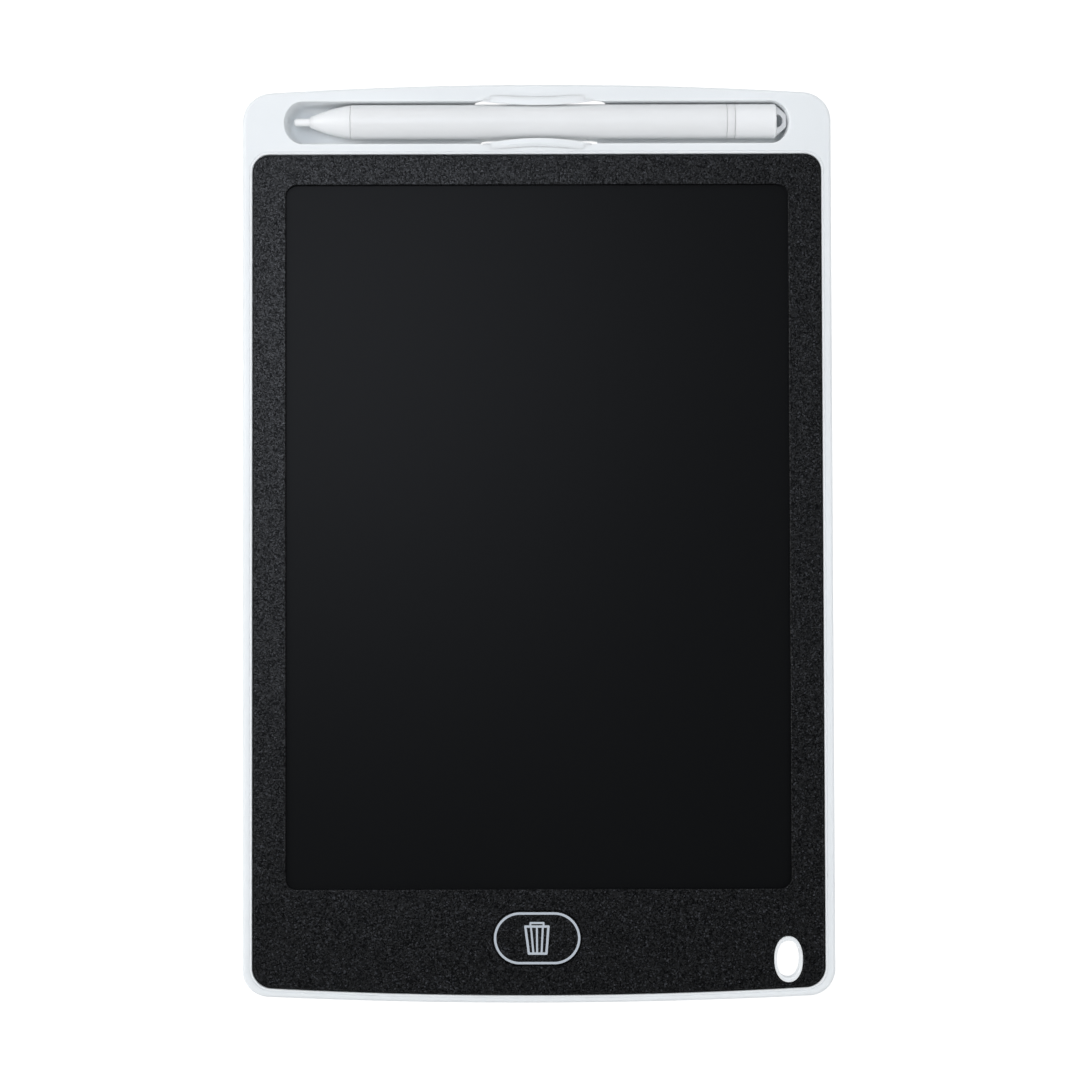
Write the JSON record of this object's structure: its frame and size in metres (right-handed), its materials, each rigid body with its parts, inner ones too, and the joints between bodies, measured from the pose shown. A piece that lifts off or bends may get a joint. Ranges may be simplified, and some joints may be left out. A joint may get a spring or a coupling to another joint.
{
  "type": "lcd writing tablet",
  "caption": "Slim portrait LCD writing tablet in a moulded case, with a snap-in stylus in a tray above the screen, an oval erase key and a lanyard eye.",
  "frame": {"origin": "bottom centre of the bounding box, under the middle of the case; z = 0 is the crest of the stylus tray's bulge on the back", "axes": "+X to the right of the screen, +Y towards the stylus tray, +Z out of the screen"},
  "size_m": [0.1454, 0.226, 0.0105],
  "materials": {
    "case_white": "white ABS, satin, fine moulded grain",
    "face_black": "black ABS, fine spark-eroded texture that glitters",
    "lcd_black": "dark cholesteric film under a satin PET surface",
    "stylus_white": "milky white, satin",
    "slider_white": "white POM, satin",
    "inner_black": "black backing sheet and tape",
    "foam_grey": "closed-cell foam",
    "board_green": "green solder mask on glass-epoxy",
    "component_black": "black moulded epoxy",
    "component_tan": "ceramic chip body",
    "polyimide": "amber polyimide film",
    "steel": "nickel-plated steel",
    "contact_tin": "tin-plated spring steel"
  },
  "bodies": {
    "tablet": {"back_shell": "case_white", "stylus_clip_upper": "case_white", "stylus_clip_lower": "case_white", "face_panel": "face_black", "lcd_film": "lcd_black", "lcd_adhesive_frame": "inner_black", "lcd_backing_sheet": "inner_black", "foam_pad": "foam_grey", "lcd_flex_tail": "polyimide", "main_board": "board_green", "flex_connector": "component_black", "controller_chip": "component_black", "boost_inductor": "component_black", "rectifier_diode": "component_black", "chip_capacitor_1": "component_tan", "chip_capacitor_2": "component_tan", "chip_capacitor_3": "component_tan", "tact_switch_base": "steel", "lock_switch_base": "steel", "board_screw_1": "steel", "board_screw_2": "steel", "board_screw_3": "steel", "coin_cell": "steel", "contact_negative": "contact_tin", "contact_positive": "contact_tin"},
    "erase_key": {"erase_button": "face_black"},
    "tact_plunger": {"tact_switch_plunger": "component_black"},
    "lock_slide": {"lock_slider": "slider_white"},
    "lock_lever": {"lock_switch_lever": "component_black"},
    "battery_hatch": {"battery_door": "case_white"},
    "hatch_screw": {"battery_door_screw": "steel"},
    "stylus": {"stylus_nib": "stylus_white", "stylus_nose_cone": "stylus_white", "stylus_barrel": "stylus_white", "stylus_band": "stylus_white", "stylus_end_cap": "stylus_white"}
  },
  "joints": [
    {"name": "stylus_lift", "type": "slide", "parent": "tablet", "child": "stylus", "axis": [0, 0, 1], "range_m": [0, 0.03], "deforming": ["stylus_clip_upper", "stylus_clip_lower"]},
    {"name": "erase_press", "type": "slide", "parent": "tablet", "child": "erase_key", "axis": [0, 0, -1], "range_m": [0, 0.0005], "stiffness_N_per_m": 400, "springref_m": -0.0002},
    {"name": "tact_press", "type": "slide", "parent": "tablet", "child": "tact_plunger", "axis": [0, 0, -1], "range_m": [0, 0.0005]},
    {"name": "lock_slide", "type": "slide", "parent": "tablet", "child": "lock_slide", "axis": [0, 1, 0], "range_m": [0, 0.002]},
    {"name": "lock_lever_slide", "type": "slide", "parent": "tablet", "child": "lock_lever", "axis": [0, 1, 0], "range_m": [0, 0.002]},
    {"name": "battery_door_open", "type": "hinge", "parent": "tablet", "child": "battery_hatch", "pos_m": [-0.0502, -0.0985, 0.00415], "axis": [0, 1, 0], "range_deg": [0, 75]},
    {"name": "battery_screw_turn", "type": "hinge", "parent": "battery_hatch", "child": "hatch_screw", "pos_m": [-0.0228, -0.0985, 0.0046], "axis": [0, 0, -1], "continuous": true}
  ],
  "couplings": [
    {"joint": "tact_press", "follows": "erase_press", "ratio": 1},
    {"joint": "lock_lever_slide", "follows": "lock_slide", "ratio": 1}
  ]
}
